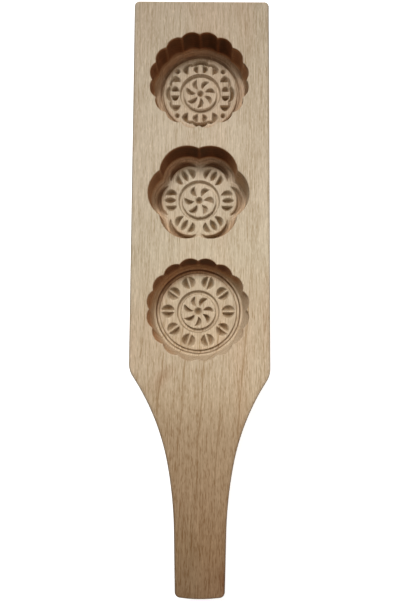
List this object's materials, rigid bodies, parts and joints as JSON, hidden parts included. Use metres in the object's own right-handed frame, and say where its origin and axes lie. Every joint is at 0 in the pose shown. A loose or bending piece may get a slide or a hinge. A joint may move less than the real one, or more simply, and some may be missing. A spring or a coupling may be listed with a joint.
{
  "type": "wooden maamoul mold",
  "caption": "Paddle-shaped one-piece beech board with fluted and lobed pattern hollows carved in its face and a waisted handle, for shaping filled biscuit dough.",
  "frame": {"origin": "centre of the board's box, on the plane of the flat back", "axes": "+Z out of the carved face, +Y along the board towards the head end, +X to the right seen on the carved face"},
  "size_m": [0.086, 0.367, 0.026],
  "materials": {
    "beech": "bare wood, fine sanded, worn smooth"
  },
  "bodies": {
    "root": {"mold_board": "beech"}
  },
  "joints": []
}
